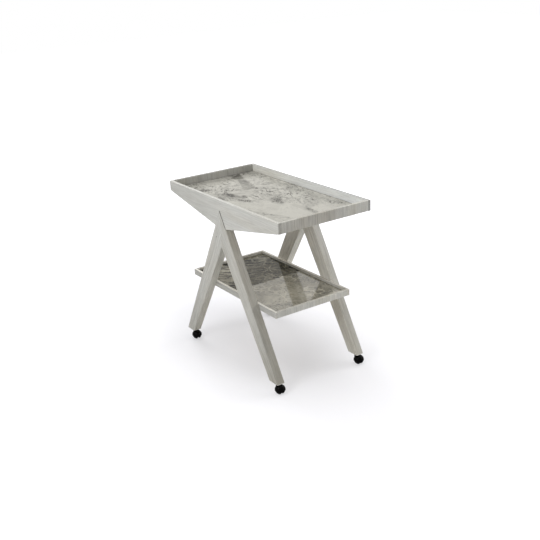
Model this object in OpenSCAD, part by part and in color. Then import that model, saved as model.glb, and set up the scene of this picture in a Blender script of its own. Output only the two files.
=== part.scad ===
// Cheese trolley in grey oak: a shallow tray with wedge-shaped side boards stands
// on two A-shaped leg frames, a smaller tray hangs between them, and each foot has
// a ball caster with two wheels under one hood. A stone slab lies in each tray.
// Origin on the floor under the middle. X runs along the trolley, -Y is its front
// (the near side), Z is up. Millimetres.

/* [Overall] */
// Length of the upper tray
trolley_l = 850; // [760:5:960]
// Depth of the upper tray, across its side boards
trolley_w = 450; // [400:5:520]
// Height of the upper tray's rim above the floor
trolley_h = 748; // [700:2:820]

/* [Upper tray] */
// Thickness of the upper tray's boards
board_t = 13; // [12:0.5:16]
// Height of the end boards, and of the side boards at their ends
end_h = 44; // [40:1:56]
// Height of the side boards at mid-length, where their lower edge is deepest
wedge_h = 126; // [116:1:140]
// Chamfer along the edges of the boards and legs
ease = 0.8; // [0.4:0.1:1.5]

/* [Slabs and panels] */
// Thickness of the stone slabs
slab_t = 6; // [5:0.5:9]
// Play between a slab's edge and the boards round it
slab_gap = 1; // [0.5:0.25:2]
// Thickness of the plywood panels under the slabs
panel_t = 6; // [5:0.5:7]
// How far the panels are let into the boards
groove_d = 6; // [4:0.5:7]
// Room for a panel in its groove
groove_gap = 0.1; // [0.05:0.05:0.3]

/* [A-frames] */
// Thickness of the legs
leg_t = 37; // [32:1:42]
// How far the legs stand proud of the side boards
leg_proud = 2; // [1:0.5:4]
// Half the spread of an A-frame at its feet, to the feet's outer corners
foot_x = 369; // [340:1:385]
// Width of a leg along its foot
foot_w = 56; // [50:1:64]
// Distance from the upper tray's underside down to the tip of the A
tip_gap = 2; // [1:0.5:6]
// Height of the crotch of the A below the rim
crotch_drop = 204; // [190:1:220]
// Seam between a leg and the notch of the side board
seam = 0.3; // [0.1:0.1:0.6]

/* [Lower tray] */
// Length of the lower tray
lower_l = 654; // [600:2:700]
// Height of the lower tray's rim above the floor
lower_rim_z = 343; // [300:1:400]
// Height of the lower tray's boards
lower_h = 27; // [24:1:34]
// Thickness of the lower tray's boards
lower_board_t = 11; // [9:0.5:13]
// Wood left under the groove of the lower tray's boards
lower_lip = 4; // [3:0.5:6]

/* [Corner blocks] */
// Width of the blocks that are glued along the legs under the upper tray
block_w = 25; // [20:1:30]
// Length of the blocks along the leg, from the tip of the A
block_l = 66; // [62:1:72]
// Half the gap between the two blocks of an A-frame
block_half_gap = 0.5; // [0.3:0.1:1]

/* [Dowels and screws] */
// Diameter of the dowels across the mitre of each A
head_dowel_d = 8; // [6:0.5:10]
// Length of the dowels across the mitre
head_dowel_l = 36; // [28:1:40]
// Height of the lowest mitre dowel above the crotch
head_dowel_rise = 26; // [22:1:30]
// Spacing of the mitre dowels
head_dowel_pitch = 34; // [28:1:36]
// Diameter of the dowels between legs and side boards
wing_dowel_d = 6; // [5:0.5:7]
// Length of the dowels between legs and side boards
wing_dowel_l = 28; // [20:1:30]
// Diameter of the dowels at the upper tray's corners
corner_dowel_d = 6; // [5:0.5:7]
// Diameter of the dowels at the lower tray's corners
lower_dowel_d = 4.5; // [4:0.5:5]
// Length of all the corner dowels
corner_dowel_l = 28; // [22:1:34]
// Depth that a corner dowel enters a side board
corner_dowel_in = 8; // [6:0.5:9]
// Room round every dowel and screw in its hole
peg_gap = 0.1; // [0.05:0.05:0.2]
// Shank diameter of the screws
screw_d = 4; // [3:0.5:4.5]
// Head diameter of the screws through the corner blocks
screw_head_d = 7.6; // [7:0.2:9]
// Head diameter of the lower tray's trim-head screws
trim_head_d = 5.6; // [5.2:0.1:5.8]
// Length of the screws that hold the lower tray to the legs
tray_screw_l = 34; // [28:1:38]
// Distance between the two screws in each leg
tray_screw_pitch = 28; // [20:1:34]
// Length of the screws through the corner blocks into the legs
block_screw_l = 38; // [34:1:42]
// Length of the screws through the corner blocks into the side boards
wing_screw_l = 29; // [26:1:30]

/* [Casters] */
// Height of the legs' feet above the floor
caster_h = 45; // [44:0.5:52]
// Distance from a caster's swivel axis back to its axle
trail = 20; // [18:0.5:22]
// Radius of the wheels' treads
wheel_r = 19; // [18.6:0.1:19.4]
// Width of each wheel
wheel_w = 12.6; // [11:0.2:13]
// Wall of each wheel's hub, round its bore
hub_wall = 3; // [2:0.5:4]
// Wall of each wheel's rim, round the cup in its inner face
rim_wall = 4; // [3:0.5:5]
// Depth of the cup
cup_d = 4.2; // [3:0.2:5]
// Outside radius of the ball-shaped hood
hood_r = 22.6; // [22.4:0.1:23.4]
// Wall of the hood
hood_wall = 1.3; // [1:0.1:1.5]
// Room between the wheels and the inside of the hood
hood_gap = 0.5; // [0.4:0.1:0.8]
// Distance from the axle down to the hood's rim
hood_rim_drop = 2; // [0:0.5:5]
// Thickness of the hood's core between the wheels
core_t = 10; // [9.5:0.5:11]
// Radius of the core below the hood's rim
core_r = 15; // [12:0.5:16]
// Gap between the core and each wheel
wheel_gap = 0.4; // [0.3:0.1:0.8]
// Diameter of the boss round the stem
boss_d = 13; // [12:0.5:14]
// Height of the boss above the axle, at its lower end
boss_rise = 5; // [3:0.5:7]
// Diameter of the axle
axle_d = 5; // [4:0.5:6]
// Diameter of the axle's heads
axle_head_d = 7.6; // [7.2:0.2:8.4]
// Thickness of the axle's heads
axle_head_t = 1; // [0.8:0.1:1.4]
// Diameter of the caster stem
stem_d = 7; // [6:0.5:7.5]
// Length of the stem inside the leg
stem_l = 21; // [16:1:22]
// Diameter of the stem's thrust collar
collar_d = 12; // [11:0.5:13]
// Thickness of the thrust collar
collar_t = 1.2; // [1:0.1:1.4]
// Outside diameter of the sleeve in the leg
socket_d = 10; // [9.5:0.5:12]
// Length of the sleeve in the leg
socket_l = 24; // [23:1:27]
// Diameter of the sleeve's flange
flange_d = 15; // [14:0.5:18]
// Thickness of the sleeve's flange
flange_t = 1; // [0.8:0.1:1.2]
// Radial clearance of the stem in its sleeve and of the wheels on their axle
run_gap = 0.05; // [0.02:0.01:0.1]
// Axial clearance of the swivelling and rolling pieces
end_gap = 0.3; // [0.3:0.05:0.5]

/* [Hidden] */
$fn = 64;
oak = "#b9b6ae";
plywood = "#c9bfa8";
pale_stone = "#c8c6be";
grey_stone = "#8d8d82";
beech = "#d2b48c";
zinc = "#b8bcc0";
black = "#161616";
over = 1;

// The two sides of each pair: -1 is near or left, +1 is far or right.
near = -1;
far = 1;
left = -1;
right = 1;

// Upper tray
upper_inner_x = trolley_l / 2 - board_t;
upper_inner_y = trolley_w / 2 - board_t;
upper_bottom_z = trolley_h - end_h;
upper_slab_z = upper_bottom_z + panel_t;

// Lower tray, which fits between the inner faces of the A-frames
leg_outer_y = trolley_w / 2 + leg_proud;
leg_inner_y = leg_outer_y - leg_t;
leg_mid_y = leg_outer_y - leg_t / 2;
lower_bottom_z = lower_rim_z - lower_h;
lower_panel_z = lower_bottom_z + lower_lip;
lower_slab_z = lower_panel_z + panel_t;
lower_inner_x = lower_l / 2 - lower_board_t;
lower_inner_y = leg_inner_y - lower_board_t;

// The A: tip, crotch, and the unit vectors down its outer edge and square to it,
// for the right leg, in the XZ plane
tip_z = upper_bottom_z - tip_gap;
crotch_z = trolley_h - crotch_drop;
leg_run = norm([foot_x, tip_z - caster_h]);
edge_dir = [foot_x / leg_run, -(tip_z - caster_h) / leg_run];
edge_out = [-edge_dir[1], edge_dir[0]];
edge_angle = atan2(edge_out[1], edge_out[0]);
foot_mid_x = foot_x - foot_w / 2;

// A point of the right leg's outer edge, s down from the tip and w out from the edge
function by_edge(s, w = 0) = [0, tip_z] + s * edge_dir + w * edge_out;

// How far out the legs' outer and inner edges are at a height
function outer_edge_x(z) = foot_x * (tip_z - z) / (tip_z - caster_h);
function inner_edge_x(z) = (foot_x - foot_w) * (crotch_z - z) / (crotch_z - caster_h);

// Where the paired fasteners stand, as shares of the joint or board that they hold
wing_dowel_shares = [0.46, 0.86];
corner_dowel_shares = [0.3, 0.7];
leg_screw_share = 0.74;
wing_screw_share = 0.3;

// Casters
axle_z = wheel_r;
wheel_ball_r = hood_r - hood_wall - hood_gap;
wheel_in_y = core_t / 2 + wheel_gap;
wheel_out_y = wheel_in_y + wheel_w;
boss_top_z = caster_h - flange_t - end_gap - collar_t;
axle_seat_y = wheel_out_y - axle_head_t - 2 * end_gap;

// ---------- Shapes that repeat ----------

// A flat plate from an outline in XZ, between two depths, with the listed edges of
// the outline chamfered on both faces
module plate(outline, y0, y1, eased) {
    difference() {
        translate([0, y1, 0])
            rotate([90, 0, 0])
                linear_extrude(y1 - y0)
                    polygon(outline);
        for (i = eased, y = [y0, y1])
            edge_cut(outline[i], outline[(i + 1) % len(outline)], y);
    }
}

// The square prism that takes the chamfer off one edge
module edge_cut(p, q, y) {
    side = ease * sqrt(2);
    translate([p[0], y, p[1]])
        rotate([0, -atan2(q[1] - p[1], q[0] - p[0]), 0])
            rotate([45, 0, 0])
                translate([-over, -side / 2, -side / 2])
                    cube([norm(q - p) + 2 * over, side, side]);
}

// The outline of a plain board that lies between two ends and two heights
function board_outline(x0, x1, z0, z1) = [[x0, z1], [x1, z1], [x1, z0], [x0, z0]];

// A rectangular sheet centred on the origin, with its lower face at z
module sheet(x, y, z, t) {
    translate([-x, -y, z])
        cube([2 * x, 2 * y, t]);
}

// A stone slab: a sheet with its upper edges chamfered
module slab(x, y, z) {
    side = ease * sqrt(2);
    difference() {
        sheet(x, y, z, slab_t);
        for (s = [-1, 1]) {
            translate([0, s * y, z + slab_t])
                rotate([45, 0, 0])
                    cube([2 * x + 2 * over, side, side], center = true);
            translate([s * x, 0, z + slab_t])
                rotate([0, 45, 0])
                    cube([side, 2 * y + 2 * over, side], center = true);
        }
    }
}

// A dowel with chamfered ends, along +Z from the origin; grow makes its hole
module dowel(d, l, grow = 0) {
    r = d / 2 + grow;
    chamfer = d / 8;
    hole_l = l + 2 * grow;
    translate([0, 0, -grow])
        rotate_extrude()
            polygon([[0, 0], [r - chamfer, 0], [r, chamfer], [r, hole_l - chamfer],
                     [r - chamfer, hole_l], [0, hole_l]]);
}

// A countersunk screw, head at the origin and point along +Z; grow makes its hole
module screw(l, head_d, grow = 0) {
    head_r = head_d / 2 + grow;
    r = screw_d / 2 + grow;
    head_h = (head_d - screw_d) / 2;
    tip = screw_d;
    rotate_extrude()
        polygon([[0, 0], [head_r, 0], [r, head_h], [r, l - tip],
                 [grow, l + grow], [0, l + grow]]);
}

// ---------- Fasteners, each placed once for the piece and for its hole ----------

module mitre_dowels(side, grow = 0) {
    for (i = [0:2])
        translate([-head_dowel_l / 2, side * leg_mid_y,
                   crotch_z + head_dowel_rise + i * head_dowel_pitch])
            rotate([0, 90, 0])
                dowel(head_dowel_d, head_dowel_l, grow);
}

// Two dowels across the joint of one leg and one side board
module edge_dowels(side, end, grow = 0) {
    board_mid_y = trolley_w / 2 - board_t / 2;
    joint_l = block_l + wing_dowel_d;
    for (share = wing_dowel_shares) {
        p = by_edge(joint_l * share, -wing_dowel_l / 2);
        translate([end * p[0], side * board_mid_y, p[1]])
            rotate([0, end * (90 - edge_angle), 0])
                dowel(wing_dowel_d, wing_dowel_l, grow);
    }
}

// Two dowels, one over the other, at a corner of the upper tray
module upper_corner_pair(side, end, grow = 0) {
    room = end_h - panel_t;
    for (share = corner_dowel_shares)
        translate([end * (trolley_l / 2 - board_t / 2),
                   side * (upper_inner_y + corner_dowel_in), trolley_h - room * share])
            rotate([side * 90, 0, 0])
                dowel(corner_dowel_d, corner_dowel_l, grow);
}

// One dowel at a corner of the lower tray, above the panel
module lower_corner_dowel(side, end, grow = 0) {
    translate([end * (lower_l / 2 - lower_board_t / 2),
               side * (lower_inner_y + corner_dowel_in),
               (lower_rim_z + lower_panel_z + panel_t) / 2])
        rotate([side * 90, 0, 0])
            dowel(lower_dowel_d, corner_dowel_l, grow);
}

// Two screws from inside the lower tray into one leg; the slab's edge hides them
module tray_screw_pair(side, end, grow = 0) {
    z = lower_slab_z + slab_t / 2;
    mid_x = (outer_edge_x(z) + inner_edge_x(z)) / 2;
    for (x = [mid_x - tray_screw_pitch / 2, mid_x + tray_screw_pitch / 2])
        translate([end * x, side * lower_inner_y, z])
            rotate([-side * 90, 0, 0])
                screw(tray_screw_l, trim_head_d, grow);
}

// One screw through a corner block into its leg, and one into the side board
module block_screw_pair(side, end, grow = 0) {
    p = by_edge(block_l * leg_screw_share, block_w);
    block_mid_y = (upper_inner_y + leg_inner_y) / 2;
    translate([end * p[0], side * block_mid_y, p[1]])
        rotate([0, -end * (90 + edge_angle), 0])
            screw(block_screw_l, screw_head_d, grow);
    q = by_edge(block_l * wing_screw_share, block_w / 2);
    translate([end * q[0], side * leg_inner_y, q[1]])
        rotate([-side * 90, 0, 0])
            screw(wing_screw_l, screw_head_d, grow);
}

module at_foot(side, end) {
    translate([end * foot_mid_x, side * leg_mid_y, 0])
        children();
}

// ---------- Upper tray ----------

// A side board: deep in the middle, notched over the tip of the A, and grooved
// for the panel
module side_board(side) {
    seam_rise = seam / edge_dir[0];
    outline = [[-trolley_l / 2, trolley_h], [trolley_l / 2, trolley_h],
               [trolley_l / 2, upper_bottom_z], [0, trolley_h - wedge_h],
               [-trolley_l / 2, upper_bottom_z]];
    y0 = min(side * trolley_w / 2, side * upper_inner_y);
    color(oak)
        difference() {
            plate(outline, y0, y0 + board_t, [0, 1, 2, 3, 4]);
            translate([0, y0 - over, seam_rise])
                rotate([90, 0, 0])
                    mirror([0, 0, 1])
                        linear_extrude(board_t + 2 * over)
                            polygon([[0, tip_z], [foot_x, caster_h], [-foot_x, caster_h]]);
            sheet(upper_inner_x + groove_d, upper_inner_y + groove_d, upper_bottom_z,
                  panel_t + groove_gap);
            for (end = [left, right]) {
                edge_dowels(side, end, peg_gap);
                upper_corner_pair(side, end, peg_gap);
                block_screw_pair(side, end, peg_gap);
            }
        }
}

// An end board, which fits between the side boards and is rebated over the panel
module end_board(end) {
    outline = board_outline(-upper_inner_y, upper_inner_y, upper_bottom_z, trolley_h);
    color(oak)
        difference() {
            rotate([0, 0, 90])
                plate(outline, -end * (trolley_l / 2 - board_t / 2) - board_t / 2,
                      -end * (trolley_l / 2 - board_t / 2) + board_t / 2, [0, 2]);
            sheet(upper_inner_x + groove_d, trolley_w, upper_bottom_z - over,
                  panel_t + over + groove_gap);
            for (side = [near, far])
                upper_corner_pair(side, end, peg_gap);
        }
}

module upper_panel() {
    reach = groove_d - groove_gap;
    color(plywood)
        sheet(upper_inner_x + reach, upper_inner_y + reach, upper_bottom_z, panel_t);
}

module upper_stone() {
    color(pale_stone)
        slab(upper_inner_x - slab_gap, upper_inner_y - slab_gap, upper_slab_z);
}

// ---------- A-frames ----------

// A tapered leg, mitred at the middle of the trolley and cut level at its foot
module leg(side, end) {
    outline = [[0, tip_z], [end * foot_x, caster_h],
               [end * (foot_x - foot_w), caster_h], [0, crotch_z]];
    y0 = min(side * leg_inner_y, side * leg_outer_y);
    color(oak)
        difference() {
            plate(outline, y0, y0 + leg_t, [0, 1, 2]);
            mitre_dowels(side, peg_gap);
            edge_dowels(side, end, peg_gap);
            tray_screw_pair(side, end, peg_gap);
            block_screw_pair(side, end, peg_gap);
            at_foot(side, end)
                translate([0, 0, caster_h - over])
                    cylinder(d = socket_d + 2 * peg_gap, h = socket_l + over + peg_gap);
        }
}

// A short batten glued along the leg, behind the side board and under the panel
module corner_block(side, end) {
    tip = [block_half_gap, tip_z + block_half_gap * edge_dir[1] / edge_dir[0]];
    low = by_edge(block_l);
    low_out = by_edge(block_l, block_w);
    top_out = low_out - edge_dir * ((upper_bottom_z - low_out[1]) / -edge_dir[1]);
    outline = [[block_half_gap, upper_bottom_z], top_out, low_out, low, tip];
    y0 = min(side * upper_inner_y, side * leg_inner_y);
    color(oak)
        difference() {
            plate([for (p = outline) [end * p[0], p[1]]], y0, y0 + upper_inner_y - leg_inner_y, [1, 2]);
            block_screw_pair(side, end, peg_gap);
        }
}

// ---------- Lower tray ----------

// A long board of the lower tray, screwed to the inner faces of the legs
module lower_side_board(side) {
    outline = board_outline(-lower_l / 2, lower_l / 2, lower_bottom_z, lower_rim_z);
    y0 = min(side * leg_inner_y, side * lower_inner_y);
    color(oak)
        difference() {
            plate(outline, y0, y0 + lower_board_t, [0, 1, 2, 3]);
            lower_groove();
            for (end = [left, right]) {
                lower_corner_dowel(side, end, peg_gap);
                tray_screw_pair(side, end, peg_gap);
            }
        }
}

// A short board of the lower tray, between the long ones
module lower_end_board(end) {
    outline = board_outline(-lower_inner_y, lower_inner_y, lower_bottom_z, lower_rim_z);
    mid = lower_l / 2 - lower_board_t / 2;
    color(oak)
        difference() {
            rotate([0, 0, 90])
                plate(outline, -end * mid - lower_board_t / 2, -end * mid + lower_board_t / 2, [0, 2]);
            lower_groove();
            for (side = [near, far])
                lower_corner_dowel(side, end, peg_gap);
        }
}

// The groove that runs round the inside of the lower tray's boards
module lower_groove() {
    depth = lower_groove_d();
    sheet(lower_inner_x + depth, lower_inner_y + depth, lower_panel_z, panel_t + groove_gap);
}

// The lower boards are thinner, and keep as much wood behind the groove as the upper
function lower_groove_d() = groove_d - (board_t - lower_board_t);

module lower_panel() {
    reach = lower_groove_d() - groove_gap;
    color(plywood)
        sheet(lower_inner_x + reach, lower_inner_y + reach, lower_panel_z, panel_t);
}

module lower_stone() {
    color(grey_stone)
        slab(lower_inner_x - slab_gap, lower_inner_y - slab_gap, lower_slab_z);
}

// ---------- Casters, each drawn with its swivel axis on Z ----------

module at_axle() {
    translate([trail, 0, axle_z])
        children();
}

// The inside of the hood that the wheels run in, on both sides of the core
module wheel_wells() {
    at_axle()
        difference() {
            sphere(r = hood_r - hood_wall);
            cube([4 * hood_r, core_t, 4 * hood_r], center = true);
        }
}

// Everything from the hood's rim upwards
module above_rim() {
    at_axle()
        translate([-2 * hood_r, -2 * hood_r, -hood_rim_drop])
            cube([4 * hood_r, 4 * hood_r, 4 * hood_r]);
}

// The hood: a ball cut off at its rim, with a core between the wheels that holds
// the axle, and a boss in front that holds the stem
module hood() {
    boss_z = axle_z + boss_rise;
    color(black)
        difference() {
            union() {
                intersection() {
                    at_axle() sphere(r = hood_r);
                    above_rim();
                }
                at_axle()
                    rotate([90, 0, 0])
                        cylinder(r = core_r, h = core_t, center = true);
                translate([0, 0, boss_z])
                    cylinder(d = boss_d, h = boss_top_z - boss_z);
            }
            wheel_wells();
            translate([0, 0, boss_z + hood_wall])
                cylinder(d = stem_d + 2 * run_gap, h = caster_h);
            at_axle()
                rotate([90, 0, 0])
                    cylinder(d = axle_d + 2 * run_gap, h = 2 * hood_r, center = true);
        }
}

// The stem: a pin with a collar that carries the load on the sleeve's flange
module stem() {
    bottom = axle_z + boss_rise + hood_wall + end_gap;
    top = caster_h + stem_l;
    taper = stem_d / 5;
    color(zinc)
        rotate_extrude()
            polygon([[0, bottom], [stem_d / 2, bottom], [stem_d / 2, boss_top_z],
                     [collar_d / 2, boss_top_z], [collar_d / 2, boss_top_z + collar_t],
                     [stem_d / 2, boss_top_z + collar_t], [stem_d / 2, top - taper],
                     [stem_d / 2 - taper, top], [0, top]]);
}

// The sleeve in the leg, with a flange against the foot
module socket() {
    bore_r = stem_d / 2 + run_gap;
    color(zinc)
        translate([0, 0, caster_h])
            rotate_extrude()
                polygon([[bore_r, -flange_t], [flange_d / 2, -flange_t], [flange_d / 2, 0],
                         [socket_d / 2, 0], [socket_d / 2, socket_l], [bore_r, socket_l]]);
}

// The axle, headed over at both ends
module axle() {
    head_in = axle_seat_y + end_gap;
    head_out = head_in + axle_head_t;
    color(zinc)
        at_axle()
            rotate([90, 0, 0])
                rotate_extrude()
                    polygon([[0, -head_out], [axle_head_d / 2, -head_out],
                             [axle_head_d / 2, -head_in], [axle_d / 2, -head_in],
                             [axle_d / 2, head_in], [axle_head_d / 2, head_in],
                             [axle_head_d / 2, head_out], [0, head_out]]);
}

// A wheel on one side of the core: a slice of a ball with a plain bore, a cupped
// inner face and a seat for the axle's head
module wheel(side) {
    bore_r = axle_d / 2 + run_gap;
    seat_r = axle_head_d / 2 + end_gap;
    hub_r = bore_r + hub_wall;
    cup_r = wheel_r - rim_wall;
    cup_z = wheel_in_y + cup_d;
    color(black)
        at_axle()
            rotate([side * -90, 0, 0])
                intersection() {
                    rotate_extrude()
                        polygon([[bore_r, wheel_in_y], [hub_r, wheel_in_y],
                                 [hub_r, cup_z], [cup_r, cup_z],
                                 [cup_r, wheel_in_y], [wheel_r, wheel_in_y],
                                 [wheel_r, wheel_out_y], [seat_r, wheel_out_y],
                                 [seat_r, axle_seat_y], [bore_r, axle_seat_y]]);
                    sphere(r = wheel_ball_r);
                }
}

// ---------- The nodes ----------

side_board(near);  // near_side_board
side_board(far);  // far_side_board
end_board(left);  // left_end_board
end_board(right);  // right_end_board
upper_panel();  // upper_base_panel
upper_stone();  // upper_slab
lower_side_board(near);  // lower_near_board
lower_side_board(far);  // lower_far_board
lower_end_board(left);  // lower_left_board
lower_end_board(right);  // lower_right_board
lower_panel();  // lower_base_panel
lower_stone();  // lower_slab
leg(near, left);  // near_left_leg
leg(near, right);  // near_right_leg
leg(far, left);  // far_left_leg
leg(far, right);  // far_right_leg
corner_block(near, left);  // near_left_corner_block
corner_block(near, right);  // near_right_corner_block
corner_block(far, left);  // far_left_corner_block
corner_block(far, right);  // far_right_corner_block
color(beech) for (side = [near, far]) mitre_dowels(side);  // head_dowels
color(beech) for (side = [near, far], end = [left, right]) edge_dowels(side, end);  // wing_dowels
color(beech) for (side = [near, far], end = [left, right]) upper_corner_pair(side, end);  // upper_corner_dowels
color(beech) for (side = [near, far], end = [left, right]) lower_corner_dowel(side, end);  // lower_corner_dowels
color(zinc) for (side = [near, far], end = [left, right]) tray_screw_pair(side, end);  // lower_tray_screws
color(zinc) for (side = [near, far], end = [left, right]) block_screw_pair(side, end);  // corner_block_screws
for (side = [near, far], end = [left, right]) at_foot(side, end) socket();  // caster_sockets
at_foot(near, left) hood();  // near_left_hood
at_foot(near, left) stem();  // near_left_stem
at_foot(near, left) axle();  // near_left_axle
at_foot(near, left) wheel(near);  // near_left_outer_wheel
at_foot(near, left) wheel(far);  // near_left_inner_wheel
at_foot(near, right) hood();  // near_right_hood
at_foot(near, right) stem();  // near_right_stem
at_foot(near, right) axle();  // near_right_axle
at_foot(near, right) wheel(near);  // near_right_outer_wheel
at_foot(near, right) wheel(far);  // near_right_inner_wheel
at_foot(far, left) hood();  // far_left_hood
at_foot(far, left) stem();  // far_left_stem
at_foot(far, left) axle();  // far_left_axle
at_foot(far, left) wheel(far);  // far_left_outer_wheel
at_foot(far, left) wheel(near);  // far_left_inner_wheel
at_foot(far, right) hood();  // far_right_hood
at_foot(far, right) stem();  // far_right_stem
at_foot(far, right) axle();  // far_right_axle
at_foot(far, right) wheel(far);  // far_right_outer_wheel
at_foot(far, right) wheel(near);  // far_right_inner_wheel
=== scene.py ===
# %% [markdown]
# # A cheese trolley in limed oak
# The object is a low serving trolley. A shallow tray with a stone slab stands on
# two A-frames, a smaller tray hangs between them, and each of the four feet has a
# ball caster. The exact solids are loaded first. They keep their shapes, and this
# lesson gives them their finishes, makes the small turned and threaded parts in
# more detail, and sets up the floor, the lamps and the camera.

import math

import bmesh
import bpy
import numpy as np
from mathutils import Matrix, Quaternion, Vector


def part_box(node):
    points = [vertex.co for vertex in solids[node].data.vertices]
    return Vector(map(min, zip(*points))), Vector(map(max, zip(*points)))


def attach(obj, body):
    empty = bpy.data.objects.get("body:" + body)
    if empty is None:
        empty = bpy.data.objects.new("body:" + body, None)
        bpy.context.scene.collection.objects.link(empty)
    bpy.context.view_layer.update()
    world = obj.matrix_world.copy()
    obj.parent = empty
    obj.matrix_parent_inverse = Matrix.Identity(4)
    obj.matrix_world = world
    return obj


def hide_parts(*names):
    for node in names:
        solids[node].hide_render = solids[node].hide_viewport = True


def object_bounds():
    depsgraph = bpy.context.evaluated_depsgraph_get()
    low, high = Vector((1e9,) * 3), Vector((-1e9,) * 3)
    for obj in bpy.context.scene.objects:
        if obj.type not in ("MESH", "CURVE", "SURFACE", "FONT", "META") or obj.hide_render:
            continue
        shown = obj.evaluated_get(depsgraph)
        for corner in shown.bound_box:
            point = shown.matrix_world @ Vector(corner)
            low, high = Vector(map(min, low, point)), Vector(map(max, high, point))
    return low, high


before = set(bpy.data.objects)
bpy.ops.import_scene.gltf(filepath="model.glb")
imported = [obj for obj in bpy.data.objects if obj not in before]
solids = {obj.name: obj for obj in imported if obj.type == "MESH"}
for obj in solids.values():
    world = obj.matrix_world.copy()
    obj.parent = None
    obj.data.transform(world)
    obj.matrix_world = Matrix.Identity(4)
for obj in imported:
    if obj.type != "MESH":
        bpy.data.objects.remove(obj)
cad_low, cad_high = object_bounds()
print(len(solids), "solids, overall", [round(v, 4) for v in cad_high - cad_low])

# %% [markdown]
# ## The camera
# The picture is taken from the front right and a little above the rim. The distance
# matters as much as the angle: a near camera makes the near corner of the tray
# look larger than the far one. The slight roll is the photographer's.

# %% Camera
VIEW_AZIMUTH, VIEW_ELEVATION, VIEW_ROLL = (math.radians(a) for a in (56.575, 20.98, -2.887))
VIEW_DISTANCE = 3.6721
VIEW_TARGET = Vector((0.0143, 0.0, 0.3873))
FOCAL_LENGTH = 55.949

towards_camera = Vector((
    math.sin(VIEW_AZIMUTH) * math.cos(VIEW_ELEVATION),
    -math.cos(VIEW_AZIMUTH) * math.cos(VIEW_ELEVATION),
    math.sin(VIEW_ELEVATION),
))
camera = bpy.data.objects.new("camera", bpy.data.cameras.new("camera"))
bpy.context.scene.collection.objects.link(camera)
camera.data.lens = FOCAL_LENGTH
camera.data.sensor_width = 36
camera.location = VIEW_TARGET + towards_camera * VIEW_DISTANCE
level = (-towards_camera).to_track_quat("-Z", "Y")
camera.rotation_mode = "QUATERNION"
camera.rotation_quaternion = level @ Quaternion((0, 0, 1), VIEW_ROLL)
bpy.context.scene.camera = camera
bpy.context.scene.view_settings.view_transform = "Standard"
print("camera at", [round(v, 3) for v in camera.location])

# %% [markdown]
# ## Nodes written as sums
# Every finish here is a tree of small nodes. A Wire stands for the output of one
# node, and a sum of wires makes Math or Vector Math nodes, so that a tree reads like
# the formula that it is. A wire knows its tree, so only the first nodes name it.

# %% Wires and sums
class Wire:
    """A node's output, which can stand in a sum or feed another node."""

    def __init__(self, socket):
        self.socket = socket
        self.tree = socket.id_data
        self.is_vector = socket.type in ("VECTOR", "RGBA")

    def __add__(self, other):
        return calc("ADD", self, other)

    def __sub__(self, other):
        return calc("SUBTRACT", self, other)

    def __rsub__(self, other):
        return calc("SUBTRACT", other, self)

    def __mul__(self, other):
        return calc("MULTIPLY", self, other)

    def __truediv__(self, other):
        return calc("DIVIDE", self, other)

    def __abs__(self):
        return calc("ABSOLUTE", self)


def feed(node, wires):
    """Gives inputs of a node, by name or number, a wire or a plain value."""
    for name, value in dict(wires).items():
        if isinstance(value, Wire):
            value.tree.links.new(value.socket, node.inputs[name])
        else:
            node.inputs[name].default_value = value
    return node


def put(tree, kind, wires=(), **settings):
    """Adds a node with its settings and inputs."""
    node = tree.nodes.new(kind)
    for name, value in settings.items():
        setattr(node, name, value)
    return feed(node, wires)


def out(tree, kind, wires=(), output=0, **settings):
    """Adds a node and returns the wire from one of its outputs."""
    return Wire(put(tree, kind, wires, **settings).outputs[output])


def wires_from(node):
    return {socket.name: Wire(socket) for socket in node.outputs}


def tree_of(values):
    return next(value.tree for value in values if isinstance(value, Wire))


def calc(operation, *values):
    """One Math node, or one Vector Math node where any value is a vector."""
    tree = tree_of(values)
    if not any(isinstance(v, tuple) or isinstance(v, Wire) and v.is_vector for v in values):
        return out(tree, "ShaderNodeMath", enumerate(values), operation=operation)
    values = [v if isinstance(v, (tuple, Wire)) else (v, v, v) for v in values]
    output = "Value" if operation in ("LENGTH", "DISTANCE", "DOT_PRODUCT") else "Vector"
    return out(tree, "ShaderNodeVectorMath", enumerate(values), output, operation=operation)


print("wires ready")

# %% Helpers for values and places
def larger(a, b):
    return calc("MAXIMUM", a, b)


def smaller(a, b):
    return calc("MINIMUM", a, b)


def clamped(value):
    return out(value.tree, "ShaderNodeClamp", {0: value})


def span(value, low, high, new_low=0.0, new_high=1.0, way="LINEAR"):
    """A ramp that stays at its ends outside the span."""
    wires = enumerate((value, low, high, new_low, new_high))
    return out(value.tree, "ShaderNodeMapRange", wires, interpolation_type=way)


def remap(value, low, high, new_low=0.0, new_high=1.0):
    """A ramp with soft ends."""
    return span(value, low, high, new_low, new_high, "SMOOTHSTEP")


def mix(share, a, b, way="MIX"):
    wires = {0: share, 6: a, 7: b}
    return out(tree_of(wires.values()), "ShaderNodeMix", wires, 2, data_type="RGBA", blend_type=way)


def noise(place, scale, detail=2.0, rough=0.5, output="Fac"):
    wires = {"Vector": place, "Scale": scale, "Detail": detail, "Roughness": rough}
    return out(place.tree, "ShaderNodeTexNoise", wires, output)


def sway(place, scale, detail, rough=0.5):
    """A noise that pushes a place to and fro, by up to about a half along each axis."""
    return noise(place, scale, detail, rough, "Color") - 0.5


def about_z(place, angle):
    wires = {"Vector": place, "Angle": angle}
    return out(place.tree, "ShaderNodeVectorRotate", wires, rotation_type="Z_AXIS")


def parts_of(vector):
    return list(wires_from(put(vector.tree, "ShaderNodeSeparateXYZ", {0: vector})).values())


def combine(x, y, z):
    return out(tree_of((x, y, z)), "ShaderNodeCombineXYZ", {0: x, 1: y, 2: z})


print("helpers ready")

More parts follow.
